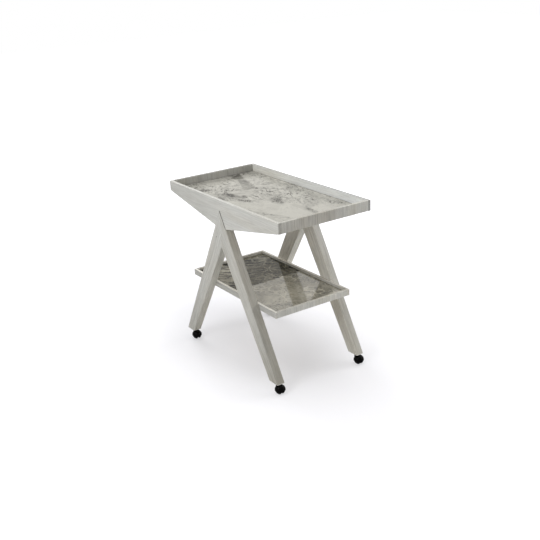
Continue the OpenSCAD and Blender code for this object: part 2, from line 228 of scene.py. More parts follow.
# %% Helpers for node groups and colours
def srgb(red, green, blue):
    """A colour as it is read off a screen, from 0 to 255, for a colour socket."""
    def linear(v):
        v /= 255
        return v / 12.92 if v <= 0.04045 else ((v + 0.055) / 1.055) ** 2.4
    return (linear(red), linear(green), linear(blue), 1.0)


def socket_kind(default):
    """The kind of socket that holds a default. A string names its kind itself."""
    if isinstance(default, tuple):
        return {3: "Vector", 4: "Color"}[len(default)]
    return default if isinstance(default, str) else type(default).__name__.title()


def new_group(kind, name, inputs, outputs):
    """An empty node group with named sockets, and the wires from its inputs."""
    tree = bpy.data.node_groups.new(name, kind)
    for label, default in inputs.items():
        made = tree.interface.new_socket(label, in_out="INPUT",
                                         socket_type="NodeSocket" + socket_kind(default))
        if not isinstance(default, str):
            made.default_value = default
    for label, output in outputs.items():
        tree.interface.new_socket(label, in_out="OUTPUT", socket_type="NodeSocket" + output)
    return tree, wires_from(tree.nodes.new("NodeGroupInput"))


def shader_group(name, inputs, **outputs):
    return new_group("ShaderNodeTree", name, inputs, outputs)


def close_group(tree, **values):
    feed(tree.nodes.new("NodeGroupOutput"), values)
    print(tree.name, "has", len(tree.nodes), "nodes")
    return tree


def use(group, **wires):
    """Places a shader group and returns the wires from its outputs."""
    return wires_from(put(tree_of(wires.values()), "ShaderNodeGroup", wires, node_tree=group))


ORIGIN = (0.0, 0.0, 0.0)
print("oak white, as a linear number:", round(srgb(210, 209, 203)[0], 3))

# %% [markdown]
# ## Limed oak
# Oak is open-grained: rows of long pores run with the fibres, in bands that are the
# years' rings. The boards here are limed, so a thin white-grey wash lies over the
# wood, thickest on the smooth summer growth, and the pores and the spring growth
# read as fine grey lines. Where a board is cut across, the pores are dots, the wash
# soaks in, and the wood looks darker.
#
# The grain is a volume: one group that takes a position with the fibres along X.
# Cut such a volume with any face and the figure is right on that face, on end grain
# too, which a flat picture can't do.

# %% Wood figure group
def wood_group():
    tree, given = shader_group(
        "limed wood",
        {"Position": ORIGIN, "Facing": (0.0, 0.0, 1.0), "Seed": 0.0,
         "Wash": (1.0, 1.0, 1.0, 1.0), "Grain": (0.5, 0.5, 0.5, 1.0), "Figure": 1.0,
         "Bands": 1.0},
        Color="Color", Roughness="Float", Height="Float")
    place = given["Position"] + given["Seed"] * (3.17, 1.31, 0.73)
    # The fibres wander a little from side to side along a board.
    place = place + sway(place * (2.4, 9, 9), 1.0, 3) * (0, 0.03, 0.03)
    # The years' rings lie round a pith that runs outside the board, at uneven distances.
    from_pith = calc("LENGTH", place * (0.05, 1.0, 0.8) + (0, 0.11, 0.05))
    from_pith = noise(place * (0.8, 30, 30), 1.0, 2) * 0.012 + from_pith
    ring = remap(calc("SINE", from_pith * 1150.0), -0.2, 1.0)
    # Short streaks, broad bands, fine fibres, and pores that are dashes along the fibres.
    streak = remap(noise(place * (9, 190, 190), 1.0, 4, 0.62), 0.36, 0.66)
    broad = remap(noise(place * (1.6, 34, 34), 1.0, 3), 0.3, 0.7)
    cloud = remap(noise(place * (5, 11, 11), 1.0, 3, 0.6), 0.3, 0.7)
    fibre = noise(place * (22, 700, 700), 1.0, 3, 0.65)
    pore = remap(noise(place * (60, 1400, 1400), 1.0, 1), 0.57, 0.7)
    pore = pore * remap(ring, 0.0, 1.0, 0.35, 1.0)
    # The bands are taken about their middle value, so that a calm board keeps its tone.
    bands = (broad * 0.2 + cloud * 0.18 - 0.19) * given["Bands"]
    shade = streak * 0.3 + ring * 0.08 + bands + fibre * 0.34 + pore * 0.3 + 0.02
    # Across the end of a board the pores are dots and the wood is darker.
    end_grain = remap(abs(parts_of(given["Facing"])[0]), 0.75, 0.95)
    shade = clamped(end_grain * 0.3 + shade * given["Figure"])
    colour = mix(shade, given["Wash"], given["Grain"])
    warmth = remap(noise(place * (2, 14, 14), 1.0, 1), 0.35, 0.7, 0.0, 0.5)
    colour = mix(warmth, colour, srgb(250, 246, 238), "MULTIPLY")
    return close_group(tree, Color=colour, Roughness=shade * 0.22 + 0.5, Height=fibre * 0.35 - pore)


limed_wood = wood_group()

# %% [markdown]
# ## Worn edges
# Hands and cloths polish the corners of a board first. The Bevel node compares
# the true face with a rounded one: where the two differ there is an edge. That needs no
# painted mask and works on every board, whatever its outline. On the oak boards the
# paler edge is also a painted highlight along the arrises.

# %% Edge group
def edge_group():
    tree, given = shader_group(
        "worn edge", {"Reach": 0.002, "Patchiness": 60.0, "Position": ORIGIN}, Mask="Float")
    rounded = out(tree, "ShaderNodeBevel", {"Radius": given["Reach"]}, samples=4)
    true = out(tree, "ShaderNodeNewGeometry", output="Normal")
    bend = 1.0 - calc("DOT_PRODUCT", rounded, true)
    patch = noise(given["Position"], given["Patchiness"], 3, 0.6)
    mask = remap(bend, 0.01, 0.16) * remap(patch, 0.35, 0.62, 0.25, 1.0)
    return close_group(tree, Mask=mask)


worn_edge = edge_group()

# %% [markdown]
# ## One oak for each board
# A joiner turns each board so that its fibres run the way it is strong: along the
# side boards and along the legs. On the end boards of this trolley the fibres stand
# upright, as on a veneered board cut from one sheet. Each board has a Mapping node
# that turns its own fibres onto the group's X axis, and a seed, so that no two
# boards show the same figure.
#
# Boards from different planks also take the wash differently. One number for each
# board makes its wash paler or darker than the common one, and it also carries
# painted light and shade: the far legs, the far board and the right end boards are
# painted lighter, the left end board and the lower near board darker. The rest are
# small marks: a knot, a veneer joint, and more painted light and shade, such as
# darker feet, a pale arris at each foot, the shadow of a leg's edge in its notch,
# lighter rim tops and lighter or darker stretches of some boards. Most of them are
# a tint that fades in along an axis, so they are a table that one function reads.

# %% Oak: directions, tones and painted light
LEG_SLOPE = 59.5  # degrees between a leg's middle line and the floor
WASH = srgb(222, 222, 217)
GRAIN = srgb(158, 156, 149)
# Worn edges, and a painted highlight along them.
POLISHED_EDGE_AND_HIGHLIGHT = srgb(236, 235, 230)

OAK_TURNS = {}
for side in ("near", "far"):
    OAK_TURNS[side + "_side_board"] = 0
    OAK_TURNS["lower_" + side + "_board"] = 0
    for end, lean in (("left", LEG_SLOPE), ("right", -LEG_SLOPE)):
        OAK_TURNS[f"{side}_{end}_leg"] = lean
        OAK_TURNS[f"{side}_{end}_corner_block"] = lean
for end in ("left", "right"):
    OAK_TURNS[end + "_end_board"] = 90
    OAK_TURNS["lower_" + end + "_board"] = 90

# Each board's own tone, together with painted light and shade where it gets more or less light.
OAK_TONES_AND_PAINTED_LIGHT = {
    "left_end_board": 0.74, "right_end_board": 1.12, "far_side_board": 1.27,
    "lower_right_board": 1.22, "lower_near_board": 0.8,
    "near_right_leg": 0.985, "far_right_leg": 1.2, "far_left_leg": 1.16,
}
# Painted light and shade on the side of each leg that faces right: darker on the right-hand legs,
# lighter on the left-hand ones.
LEG_RIGHT_FACE_PAINTED_LIGHT = {
    "near_left_leg": 1.17, "near_right_leg": 0.83, "far_left_leg": 1.12, "far_right_leg": 0.865,
}
print(len(OAK_TURNS), "oak pieces,", len(OAK_TONES_AND_PAINTED_LIGHT), "with a tone of their own")

# %% Oak: tints and painted light that fade in along an axis
HALF_LENGTH, RIM_TOP = cad_high.x, cad_high.z
LOWER_HALF_LENGTH, LOWER_RIM_TOP = 0.327, 0.343
VENEER_JOINT = -0.042  # where two leaves of veneer meet on the right end board
TOP = ("z", RIM_TOP - 0.0015, RIM_TOP - 0.0002, 0.0, 1.0)
LOWER_ENDS = ("|x|", LOWER_HALF_LENGTH - 0.0008, LOWER_HALF_LENGTH - 0.0002, 0.0, 1.0)
LOWER_TOP = ("z", LOWER_RIM_TOP - 0.001, LOWER_RIM_TOP - 0.0003, 0.0, 1.0)


def evenly(share):
    return (share, share, share, 1)


TINTS_AND_PAINTED_LIGHT = {
    # piece: pairs of the spans where a tint lies and its colour, which multiplies the
    # wood's. A span is an axis, where it begins and ends, and the share at both.
    # Painted light on the rim top, and painted shade over the left part of the face.
    "near_side_board": [
        ([TOP], evenly(1.055)),
        ([("x", -0.2, 0.08, 0.6, 0.0)], srgb(238, 238, 237)),
    ],
    # Painted light: the face lighter and cooler towards the right. The ends and the top are taken
    # back darker.
    "far_side_board": [
        ([("x", -0.3, 0.3, 0.0, 1.0)], (1.05, 1.08, 1.15, 1)),
        ([("|x|", HALF_LENGTH - 0.0008, HALF_LENGTH - 0.0001, 0.0, 1.0)], srgb(206, 206, 204)),
        ([TOP], srgb(202, 202, 201)),
    ],
    # Painted light on the rim top. The board is darker across its middle.
    "right_end_board": [
        ([TOP], evenly(1.18)),
        ([("|y|", 0.02, 0.1, 0.6, 0.0)], srgb(232, 230, 228)),
        # The near leaf of veneer is warmer and darker.
        ([("y", VENEER_JOINT - 0.001, VENEER_JOINT + 0.001, 0.3, 0.0)], srgb(238, 234, 229)),
    ],
    # Painted light: the lower near board's ends and top, and the lower far board's ends, are
    # painted lighter, as bright as the end boards that they meet.
    "lower_near_board": [([LOWER_ENDS, LOWER_TOP], evenly(1.68))],
    "lower_far_board": [([LOWER_ENDS], evenly(1.6))],
    # Painted light: the left far leg lighter low down, the right far leg lighter higher up.
    "far_left_leg": [([("z", 0.42, 0.5, 1.0, 0.0)], (1.08, 1.07, 1.06, 1))],
    "far_right_leg": [([("z", 0.4, 0.48, 0.0, 1.0)], (1.09, 1.1, 1.13, 1))],
}


def tinted(name, place, colour):
    values = dict(zip("xyz", parts_of(place)))
    for spans, tint in TINTS_AND_PAINTED_LIGHT.get(name, []):
        share = 0.0
        for axis, *ramp in spans:
            value = abs(values[axis[1]]) if axis.startswith("|") else values[axis]
            share = larger(share, remap(value, *ramp))
        colour = mix(share, colour, tint, "MULTIPLY")
    return colour


print(sum(map(len, TINTS_AND_PAINTED_LIGHT.values())), "tints")

# %% Oak: the other marks, with painted light and shade
SOLE, OUTER_FOOT, LEG_FACE = 0.045, 0.369, 0.227
LEG_PEAK = 0.702  # height where the outer lines of an A-frame's legs would meet
OUTER_ANGLE = math.atan2(LEG_PEAK - SOLE, OUTER_FOOT)
KNOT = (-0.037, -LEG_FACE, 0.581)


def leg_marks(name, place, normal, colour):
    x, y, z = parts_of(place)
    # Painted light and shade on the faces that look to the right.
    edge = remap(parts_of(normal)[0], 0.5, 0.7)
    colour = mix(edge, colour, evenly(LEG_RIGHT_FACE_PAINTED_LIGHT[name]), "MULTIPLY")
    # Painted shade: each leg grows darker towards the floor.
    foot_shade = 0.8 if name == "near_right_leg" else 0.55
    colour = mix(remap(z, 0.05, 0.42, foot_shade, 0.0), colour, srgb(224, 222, 217), "MULTIPLY")
    # Painted highlight: a pale line along the lower arris of the foot.
    arris_highlight = remap(z, SOLE + 0.0014, SOLE + 0.0024, 0.6, 0.0)
    colour = mix(arris_highlight, colour, srgb(232, 231, 226))
    # The edge of the proud leg, in the notch of the side board, is in its own shadow.
    front = remap(abs(y), LEG_FACE - 0.0028, LEG_FACE - 0.0018)
    outwards = abs(x) * math.sin(OUTER_ANGLE) + (z - LEG_PEAK) * math.cos(OUTER_ANGLE)
    in_notch = remap(z, 0.622, 0.64) * remap(outwards, -0.0016, -0.0006)
    return mix(in_notch * front, colour, srgb(92, 89, 84))


def marked(name, place, normal, colour):
    if name in LEG_RIGHT_FACE_PAINTED_LIGHT:
        colour = leg_marks(name, place, normal, colour)
    colour = tinted(name, place, colour)
    if name == "near_left_leg":
        knot = remap(calc("DISTANCE", place, KNOT), 0.0012, 0.004, 0.75, 0.0)
        colour = mix(knot, colour, srgb(98, 94, 86))
    if name == "right_end_board":
        joint = remap(abs(parts_of(place)[1] - VENEER_JOINT), 0.0003, 0.0012, 0.5, 0.0)
        colour = mix(joint, colour, srgb(110, 106, 98))
    return colour


print("the outer edge of a leg stands at", round(math.degrees(OUTER_ANGLE), 1), "degrees")

# %% Oak: the materials
def new_material(name):
    """A material, its shader, and wires with the object's own coordinates and normal."""
    made = bpy.data.materials.new(name)
    made.use_nodes = True
    own = wires_from(put(made.node_tree, "ShaderNodeTexCoord"))
    return made, made.node_tree.nodes["Principled BSDF"], own["Object"], own["Normal"]


def cover(shader, colour, rough, height, distance, strength):
    """Gives a shader its colour, its roughness and a fine relief."""
    wires = {"Height": height, "Distance": distance, "Strength": strength}
    relief = out(height.tree, "ShaderNodeBump", wires)
    feed(shader, {"Base Color": colour, "Roughness": rough, "Normal": relief})


def toned(colour, tone):
    return tuple(min(1.0, channel * tone) for channel in colour[:3]) + (1.0,)


def oak(name, degrees, seed, tone, figure, bands):
    made, shader, place, normal = new_material("oak " + name)
    turn = (0.0, math.radians(degrees), 0.0)
    along, facing = (
        out(place.tree, "ShaderNodeMapping", {0: own, "Rotation": turn}, vector_type=way)
        for own, way in ((place, "POINT"), (normal, "NORMAL")))
    wood = use(limed_wood, Position=along, Facing=facing, Seed=seed, Wash=toned(WASH, tone),
               Grain=toned(GRAIN, tone), Figure=figure, Bands=bands)
    # The wash's tone carries painted light and shade, and the paler edge is wear and a painted
    # highlight.
    edge = use(worn_edge, Position=place)["Mask"] * 0.65
    colour = marked(name, place, normal, mix(edge, wood["Color"], toned(POLISHED_EDGE_AND_HIGHLIGHT, tone)))
    cover(shader, colour, wood["Roughness"], wood["Height"], 0.0003, 0.6)
    feed(shader, {"Specular IOR Level": 0.35})
    return made


def dress(node, material):
    """Gives a solid one material in place of what it came with."""
    solids[node].data.materials.clear()
    solids[node].data.materials.append(material)


for number, (node, degrees) in enumerate(OAK_TURNS.items()):
    # The long boards and the legs were cut where the figure is calmest.
    figure, bands = 1.0, 1.0
    if node.endswith("side_board"):
        figure, bands = 0.65, 0.7
    elif node in LEG_RIGHT_FACE_PAINTED_LIGHT:
        bands = 0.45
    seed = 1.0 + 0.37 * number
    dress(node, oak(node, degrees, seed, OAK_TONES_AND_PAINTED_LIGHT.get(node, 1.0), figure, bands))
print(len(OAK_TURNS), "oak pieces dressed")

# %% [markdown]
# ## Stone slabs
# Both slabs are cut from one polished grey-beige stone. It was broken up and healed
# in the ground: large angular patches lie at different angles, each with its own
# run of wisps, thin pale veins fill the cracks, and dark clouds hang in some places.
# A Voronoi cell gives each patch a random tone and angle, and turns its flecks and
# ink-thin lines by that angle. Wavy bands fill the dark half of the lower slab.
#
# What a mason would point at has a place of its own, in small tables in metres:
# clouds with frayed rims, patches with straight healed sides, and a burst of rays
# where a crack began.
#
# Polish is a low roughness, so that the boards mirror faintly in the stone. The lower
# slab's dark half takes less of it. A specular level has to be one number for a
# material, so there the polish is a clear coat, whose weight may change.

# %% Stone group
def stone_group():
    tree, given = shader_group(
        "healed stone",
        {"Position": ORIGIN, "Pale": (1.0, 1.0, 1.0, 1.0), "Shade": (0.5, 0.5, 0.5, 1.0),
         "Dark": (0.1, 0.1, 0.1, 1.0), "Clouds": 0.0, "Wisps": 1.0, "Tone": 0.0, "Veins": 0.3,
         "Rays": 0.0, "Bands": 0.0},
        Color="Color", Roughness="Float", Height="Float")
    place = given["Position"]
    warp = sway(place, 8.0, 4, 0.6)
    bent = place + warp * 0.08
    # Each angular patch has its own tone and its own run of the wisps.
    wires = {"Vector": place + warp * 0.02, "Scale": 7.5}
    turn, tone, _ = parts_of(out(tree, "ShaderNodeTexVoronoi", wires, "Color"))
    turned = about_z(bent, turn * 1.8 - 0.9)
    line = abs(noise(turned * (13, 48, 44), 1.0, 3, 0.6) - 0.5)
    line = remap(line, 0.004, 0.04, 1.0, 0.0)
    fleck = remap(noise(turned * (26, 88, 62), 1.0, 3, 0.64), 0.51, 0.6)
    crowd = remap(noise(bent, 9.0, 3, 0.6), 0.38, 0.6, 0.3, 1.0)
    mottle = remap(noise(bent, 24.0, 5, 0.68), 0.34, 0.66)
    ink = line * 0.5 + fleck * 0.6
    # The wavy bands run across the patches.
    along = about_z(bent, math.radians(-56))
    bands = remap(noise(along * (8, 62, 20), 1.0, 4, 0.6), 0.47, 0.6)
    wisp = bands * given["Bands"] + ink * crowd * given["Wisps"]
    cloud = given["Clouds"] * remap(ink, 0.0, 0.6, 0.45, 1.1)
    wires = {"Vector": bent, "Scale": 26.0}
    crack = out(tree, "ShaderNodeTexVoronoi", wires, "Distance", feature="DISTANCE_TO_EDGE")
    vein = remap(crack, 0.0, 0.12, 1.0, 0.0) * remap(noise(place, 11.0, 2), 0.4, 0.6)
    speck = noise(place, 380.0, 2)
    shade = clamped(mottle * 0.2 + tone * 0.14 + speck * 0.16 + given["Tone"] - 0.23)
    colour = mix(shade, given["Pale"], given["Shade"])
    colour = mix(clamped(larger(wisp, cloud)), colour, given["Dark"])
    colour = mix(larger(vein * given["Veins"], given["Rays"]), colour, given["Pale"])
    return close_group(tree, Color=colour, Roughness=mottle * 0.03 + 0.035, Height=vein)


healed_stone = stone_group()

# %% Border group: one side of a straight healed crack
def border_group():
    tree, given = shader_group(
        "stone border", {"Position": ORIGIN, "Through": ORIGIN, "Turn": 0.0, "Fray": 0.01},
        Side="Float")
    frayed = sway(given["Position"], 30.0, 4, 0.6) * (given["Fray"] * (1, 1, 0))
    away = about_z(given["Position"] + frayed - given["Through"], given["Turn"])
    return close_group(tree, Side=remap(parts_of(away)[1], -0.003, 0.003))


stone_border = border_group()

# %% Cloud group: one soft dark spot of a slab
def cloud_group():
    tree, given = shader_group(
        "stone cloud", {"Position": ORIGIN, "Centre": ORIGIN, "Reach": (0.05, 0.02, 1.0),
                        "Turn": 0.0, "Strength": 0.5, "Before": 0.0},
        Mask="Float")
    frayed = sway(given["Position"], 22.0, 4, 0.7) * (0.05, 0.05, 0)
    away = about_z(given["Position"] - given["Centre"] + frayed, given["Turn"])
    far = calc("LENGTH", away / given["Reach"])
    spot = remap(far, 0.4, 1.4, 1.0, 0.0) * given["Strength"]
    return close_group(tree, Mask=larger(spot, given["Before"]))


stone_cloud = cloud_group()

# %% Where the clouds and facets lie
UPPER_CLOUDS = [
    # centre x and y, reach along and across in metres, turn in degrees, strength
    (-0.112, -0.090, 0.062, 0.018, 12, 0.9),
    (-0.062, -0.062, 0.028, 0.018, -30, 0.95),
    (-0.012, -0.094, 0.036, 0.017, 15, 1.0),
    (-0.160, -0.118, 0.050, 0.016, 45, 0.55),
    (-0.272, -0.138, 0.034, 0.022, 0, 0.7),
    (0.078, 0.010, 0.062, 0.026, -12, 0.95),
    (0.033, 0.050, 0.032, 0.018, -30, 0.75),
    (-0.020, 0.036, 0.040, 0.020, -10, 0.4),
    (0.190, 0.110, 0.075, 0.030, -30, 0.5),
    (0.150, 0.150, 0.050, 0.020, -20, 0.35),
    (-0.290, 0.072, 0.085, 0.024, -14, 0.65),
    (-0.180, 0.045, 0.060, 0.020, -35, 0.45),
    (-0.395, 0.100, 0.040, 0.030, -20, 0.8),
    (-0.350, 0.088, 0.036, 0.024, 30, 0.6),
    (-0.040, 0.160, 0.060, 0.014, -30, 0.45),
    (0.228, -0.128, 0.050, 0.012, 25, 0.5),
    (0.285, 0.030, 0.050, 0.014, -5, 0.6),
    (0.226, 0.062, 0.045, 0.026, -30, 0.45),
]
LOWER_CLOUDS = [
    (-0.235, 0.155, 0.070, 0.026, 10, 0.8),
    (-0.090, 0.160, 0.080, 0.036, -20, 0.85),
    (-0.150, 0.070, 0.080, 0.020, -30, 0.6),
    (-0.250, 0.090, 0.050, 0.030, -20, 0.5),
    (-0.060, 0.010, 0.080, 0.026, -40, 0.6),
    (-0.030, -0.070, 0.060, 0.026, -60, 0.55),
    (-0.150, -0.020, 0.050, 0.026, 60, 0.5),
    (-0.230, -0.130, 0.060, 0.024, -20, 0.6),
    (0.245, 0.110, 0.070, 0.040, -20, 0.7),
    (0.020, 0.130, 0.080, 0.030, -10, 0.7),
    (0.110, -0.120, 0.060, 0.012, -20, 0.3),
]
UPPER_FACETS = [
    # corners in metres, change of tone
    ([(-0.371, 0.063), (-0.334, 0.060), (-0.319, 0.101), (-0.411, 0.135)], 0.6),
    ([(-0.313, 0.066), (-0.147, -0.010), (-0.145, 0.049), (-0.263, 0.093)], 0.36),
    ([(-0.207, -0.143), (-0.060, -0.118), (-0.020, -0.076), (-0.142, -0.068)], 0.2),
    ([(0.218, 0.047), (0.330, 0.047), (0.328, 0.117)], -0.2),
    ([(0.164, 0.012), (0.400, 0.012), (0.400, 0.044), (0.164, 0.038)], 0.18),
]
LOWER_FACET = [(-0.325, -0.170), (-0.050, -0.170), (-0.150, -0.055), (-0.310, -0.020)]
print(len(UPPER_CLOUDS), "clouds in the upper slab,", len(LOWER_CLOUDS), "in the lower one")

# %% Masks for a slab
RAYS = 7.0  # pale rays of a burst


def border(place, x, y, turn, fray):
    """1 on the left side of a line through a point, seen along its direction."""
    return use(stone_border, Position=place, Through=(x, y, 0), Turn=math.radians(-turn),
               Fray=fray)["Side"]


def cloud_mask(place, clouds):
    mask = 0.0
    for x, y, along, across, turn, strength in clouds:
        mask = use(stone_cloud, Position=place, Centre=(x, y, 0), Reach=(along, across, 1000),
                   Turn=math.radians(-turn), Strength=strength, Before=mask)["Mask"]
    return mask


def facet(place, corners, fray):
    """1 inside a patch with straight sides, given by its corners counter-clockwise."""
    inside = 1.0
    for (x, y), (next_x, next_y) in zip(corners, corners[1:] + corners[:1]):
        turn = math.degrees(math.atan2(next_y - y, next_x - x))
        inside = smaller(inside, border(place, x, y, turn, fray))
    return inside


def burst(place, x, y, reach):
    """Rays that run out from one point, as where a crack began."""
    away = place * (1, 1, 0) - (x, y, 0)
    away_x, away_y, _ = parts_of(away)
    angle = (calc("ARCTAN2", away_y, away_x) + noise(place, 40.0, 3)) * RAYS
    rays = remap(calc("SINE", angle), 0.0, 0.9)
    return rays * remap(calc("LENGTH", away), 0.01, reach, 1.0, 0.0)


def foot_of_boards(place, half_length, half_width):
    """Painted shade: a slab is darker in its outermost few millimetres, where the boards meet it.
    """
    x, y, _ = parts_of(place)
    ends, sides = (remap(abs(value), half - 0.005, half - 0.0015)
                   for value, half in ((x, half_length), (y, half_width)))
    return larger(ends, sides) * 0.6


print("masks ready")

# %% The two slabs
def stone(name, clouds, colours, seed, zones):
    """zones is called with a place and the shader, and gives the figure's own inputs."""
    made, shader, place, _ = new_material(name)
    pale, shade, dark = colours
    figure = use(healed_stone, Position=place + (seed, seed * 0.7, 0), Pale=pale, Shade=shade,
                 Dark=dark, Clouds=cloud_mask(place, clouds), **zones(place, shader))
    _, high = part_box(name.replace("stone", "slab").replace(" ", "_"))
    # Painted shade along the foot of the boards.
    colour = mix(foot_of_boards(place, high[0], high[1]), figure["Color"], dark)
    cover(shader, colour, figure["Roughness"], figure["Height"], 0.00004, 0.3)
    return made


def upper_zones(place, shader):
    """A calm pale patch lies at the front right, between two straight healed cracks."""
    calm = 1.0 - border(place, 0.013, -0.098, 41.9, 0.01)
    calm = calm * border(place, 0.113, -0.153, 19.7, 0.02)
    tone = calm * -0.06 + remap(parts_of(place)[0], -0.37, -0.34, 0.22, 0.0) + 0.08
    for corners, change in UPPER_FACETS:
        tone = facet(place, corners, 0.012) * change + tone
    feed(shader, {"Specular IOR Level": 0.07})
    return {"Wisps": calm * -0.75 + 0.95, "Tone": tone, "Veins": 0.15}


def lower_zones(place, shader):
    """The left half is a dark patch that takes less polish. The right half has pale veins."""
    pale = 1.0 - border(place, 0.0, 0.0, 92.0, 0.09)
    x, y, _ = parts_of(place)
    # The pale half starts a little darker than it goes on.
    start = remap(x, -0.02, 0.16, 0.2, 0.0)
    tone = pale * (start - 0.44) + remap(y, -0.02, 0.1, 0.0, 0.1) + 0.82
    feed(shader, {"Specular IOR Level": 0.12, "Coat IOR": 1.62, "Coat Roughness": 0.05,
                  "Coat Weight": pale * 0.85})
    return {"Wisps": 0.8, "Bands": pale * -0.9 + 1.0, "Veins": pale * 0.5 + 0.3,
            "Rays": burst(place, -0.12, 0.083, 0.058) * 0.5,
            "Tone": facet(place, LOWER_FACET, 0.04) * -0.4 + tone}


# pale, shade and dark
UPPER_STONE = (srgb(205, 203, 194), srgb(118, 116, 108), srgb(46, 45, 40))
LOWER_STONE = (srgb(194, 191, 176), srgb(78, 76, 64), srgb(16, 16, 12))
dress("upper_slab", stone("upper stone", UPPER_CLOUDS, UPPER_STONE, 3.1, upper_zones))
dress("lower_slab", stone("lower stone", LOWER_CLOUDS, LOWER_STONE, 7.4, lower_zones))
print("two slabs dressed")

# %% [markdown]
# ## Plywood, beech, zinc and nylon
# The panels under the slabs are birch plywood, which a hand meets only from below.
# The dowels are beech, a close wood with small darker flecks. The screws, stems and
# axles are zinc-plated steel. The casters are black nylon, moulded with a very fine
# grain in the surface that breaks up the highlights. They mirror very little, since
# in the picture the four balls are nearly pure black.

# %% Plywood and beech
def light_wood(name, wash, grain, stretch, figure):
    made, shader, place, normal = new_material(name)
    wood = use(limed_wood, Position=place * stretch, Facing=normal, Seed=9.0, Wash=wash,
               Grain=grain, Figure=figure)
    cover(shader, wood["Color"], wood["Roughness"], wood["Height"], 0.0002, 0.4)
    return made


plywood = light_wood("birch plywood", srgb(222, 206, 176), srgb(176, 148, 108), (1, 0.5, 0.5), 0.8)
beech = light_wood("beech", srgb(220, 184, 142), srgb(168, 122, 82), (2, 2, 2), 1.0)
for panel in ("upper_base_panel", "lower_base_panel"):
    dress(panel, plywood)
print("panels dressed")

# %% Zinc and nylon
def zinc_material():
    made, shader, place, _ = new_material("zinc-plated steel")
    bloom = noise(place, 900.0, 4, 0.6)
    colour = mix(bloom, srgb(176, 180, 186), srgb(214, 214, 208))
    rough = remap(bloom, 0.3, 0.7, 0.22, 0.42)
    cover(shader, colour, rough, noise(place, 2400.0, 2), 0.00003, 0.4)
    feed(shader, {"Metallic": 1.0})
    return made


def nylon_material(name, rough_low, rough_high):
    made, shader, place, _ = new_material(name)
    smudge = noise(place, 70.0, 3, 0.6)
    edge = use(worn_edge, Position=place, Reach=0.0006)["Mask"]
    colour = mix(smudge, srgb(4, 4, 4), srgb(5, 5, 6))
    colour = mix(edge * 0.2, colour, srgb(30, 30, 32))
    rough = remap(smudge, 0.3, 0.7, rough_low, rough_high)
    cover(shader, colour, rough, noise(place, 1800.0, 2), 0.00004, 0.35)
    feed(shader, {"Specular IOR Level": 0.04})
    return made


zinc = zinc_material()
hood_nylon = nylon_material("black nylon", 0.24, 0.36)
wheel_nylon = nylon_material("black wheel nylon", 0.3, 0.45)
FINISHES = {
    # endings of node names: finish
    ("_stem", "_axle", "_screws", "_sockets"): zinc,
    ("_hood",): hood_nylon,
    ("_wheel",): wheel_nylon,
    ("_dowels",): beech,
}
for node in solids:
    for endings, finish in FINISHES.items():
        if node.endswith(endings):
            dress(node, finish)
print("casters and fasteners dressed")

# %% [markdown]
# ## Small parts grown from rules
# Screws, dowels and caster wheels are turned parts: one outline goes round an axis.
# A Geometry Nodes tree says that rule once. It takes a flat grid, reads the grid's
# rows as places along the outline and its columns as angles, and rolls it up. A
# thread or a flute is then one more term in the radius. The tree's inputs are named
# sizes, so that the same rule makes a long screw and a short one.
#
# The exact solids already say where each small part sits. Each loose shell of a solid
# gives one point, its axis and its length, and the tree puts one part on every point.

# %% Where the small solids lie
def along_axis(points):
    """Centre, unit axis from the thin end to the thick end, and length of a long shape."""
    middle = points.mean(axis=0)
    axis = np.linalg.svd(points - middle, full_matrices=False)[2][0]
    height = (points - middle) @ axis
    radius = np.linalg.norm(points - middle - np.outer(height, axis), axis=1)
    length = height.max() - height.min()
    high = radius[height > height.max() - 0.2 * length].max()
    low = radius[height < height.min() + 0.2 * length].max()
    centre = middle + axis * (height.max() + height.min()) / 2
    return centre, -axis if low > high else axis, length


def shells(node):
    """The centre, axis and length of each loose shell of a solid."""
    copy = bmesh.new()
    copy.from_mesh(solids[node].data)
    bmesh.ops.remove_doubles(copy, verts=copy.verts, dist=1e-6)
    unseen = set(copy.verts)
    found = []
    while unseen:
        queue = [unseen.pop()]
        shell = []
        while queue:
            vertex = queue.pop()
            shell.append(vertex.co[:])
            for edge in vertex.link_edges:
                other = edge.other_vert(vertex)
                if other in unseen:
                    unseen.remove(other)
                    queue.append(other)
        found.append(along_axis(np.array(sorted(shell))))
    copy.free()
    return sorted(found, key=lambda shell: tuple(np.round(shell[0], 4)))


for node in ("lower_tray_screws", "corner_block_screws", "head_dowels"):
    print(node, "has", len(shells(node)), "shells,",
          sorted({round(length * 1000, 1) for _, _, length in shells(node)}), "mm long")

# %% Helpers for geometry trees
def title(label):
    return label.replace("_", " ").title()


def geometry_tree(name, **sizes):
    """A tree that takes a geometry, named sizes and a material, and gives a geometry."""
    sizes = {title(label): size for label, size in sizes.items()}
    inputs = {"Geometry": "Geometry", **sizes, "Material": "Material"}
    return new_group("GeometryNodeTree", name, inputs, {"Geometry": "Geometry"})


def unit_grid(across, along):
    """A flat grid, with the places 0 to 1 of its columns and of its rows."""
    grid = out(across.tree, "GeometryNodeMeshGrid", {"Vertices X": across, "Vertices Y": along})
    x, y, _ = parts_of(out(across.tree, "GeometryNodeInputPosition"))
    return grid, x + 0.5, y + 0.5


def rolled(grid, turn, radius, height):
    """Rolls a grid up round Z, and joins its seam and its poles."""
    angle = turn * math.tau
    place = combine(radius * calc("COSINE", angle), radius * calc("SINE", angle), height)
    shape = out(grid.tree, "GeometryNodeSetPosition", {"Geometry": grid, "Position": place})
    return out(grid.tree, "GeometryNodeMergeByDistance", {"Geometry": shape, "Distance": 2e-6})


